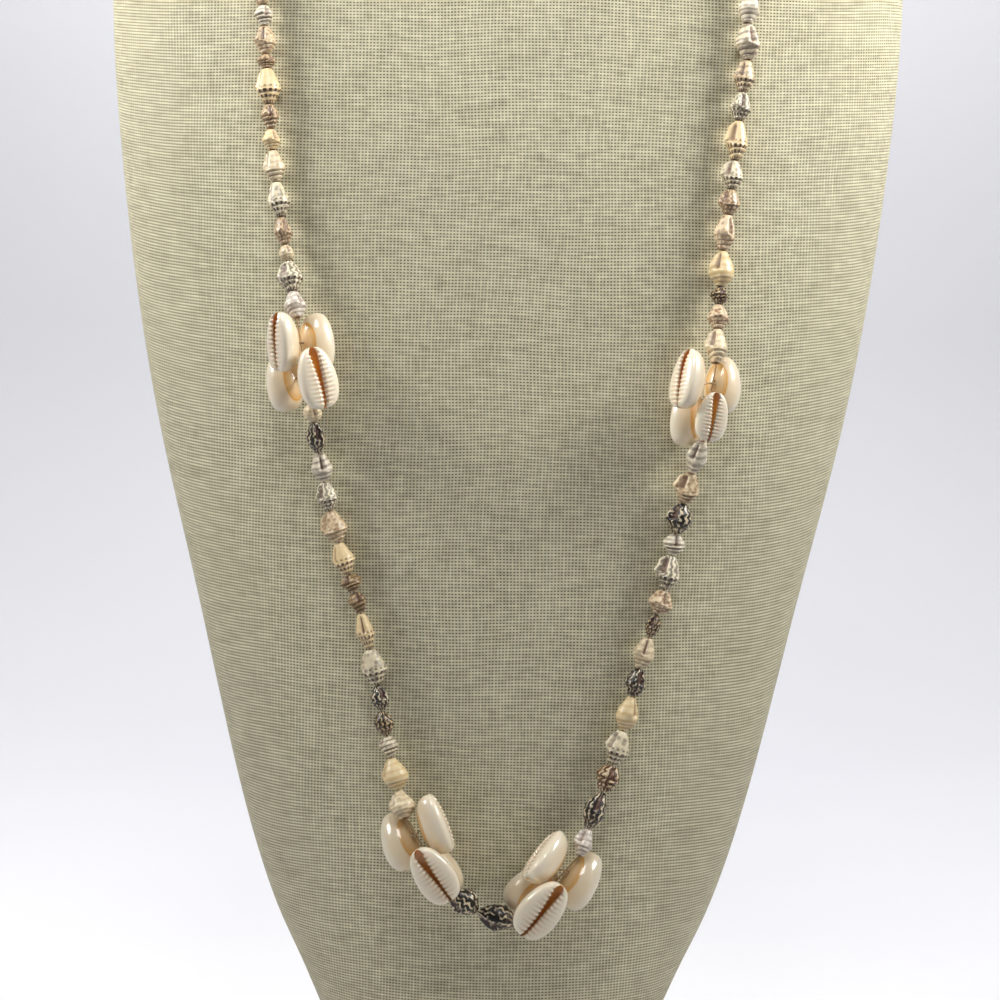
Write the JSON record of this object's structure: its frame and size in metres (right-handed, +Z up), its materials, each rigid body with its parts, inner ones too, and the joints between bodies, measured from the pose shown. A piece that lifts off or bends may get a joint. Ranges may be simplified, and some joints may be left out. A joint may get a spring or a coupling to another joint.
{
  "type": "cowrie shell necklace on a linen neck bust",
  "caption": "Long strand of small sea shells with clusters of ring cowries, hung in a loop on a plain linen-covered neck bust that stands on a flat foot.",
  "frame": {"origin": "centre of the bust's flat foot, on the surface it stands on", "axes": "+Z up through the neck, -Y out of the chest that carries the necklace, +X to the right of someone who faces the chest"},
  "size_m": [0.2388, 0.1141, 0.44],
  "materials": {
    "linen": "plain woven linen",
    "thread": "thin twisted cotton",
    "small_shell": "natural shell, satin, banded and dotted",
    "cowrie": "natural porcelain-like shell, glossy"
  },
  "bodies": {
    "root": {"bust": "linen", "thread": "thread", "shells_left_upper": "small_shell", "shells_left_side": "small_shell", "shells_bottom": "small_shell", "shells_right_side": "small_shell", "shells_right_upper": "small_shell", "cowrie_1a": "cowrie", "cowrie_1b": "cowrie", "cowrie_1c": "cowrie", "cowrie_1d": "cowrie", "cowrie_2a": "cowrie", "cowrie_2b": "cowrie", "cowrie_2c": "cowrie", "cowrie_2d": "cowrie", "cowrie_3a": "cowrie", "cowrie_3b": "cowrie", "cowrie_3c": "cowrie", "cowrie_3d": "cowrie", "cowrie_4a": "cowrie", "cowrie_4b": "cowrie", "cowrie_4c": "cowrie", "cowrie_4d": "cowrie", "tie_1a": "thread", "tie_1b": "thread", "tie_2a": "thread", "tie_2b": "thread", "tie_3a": "thread", "tie_3b": "thread", "tie_4a": "thread", "tie_4b": "thread"}
  },
  "joints": []
}
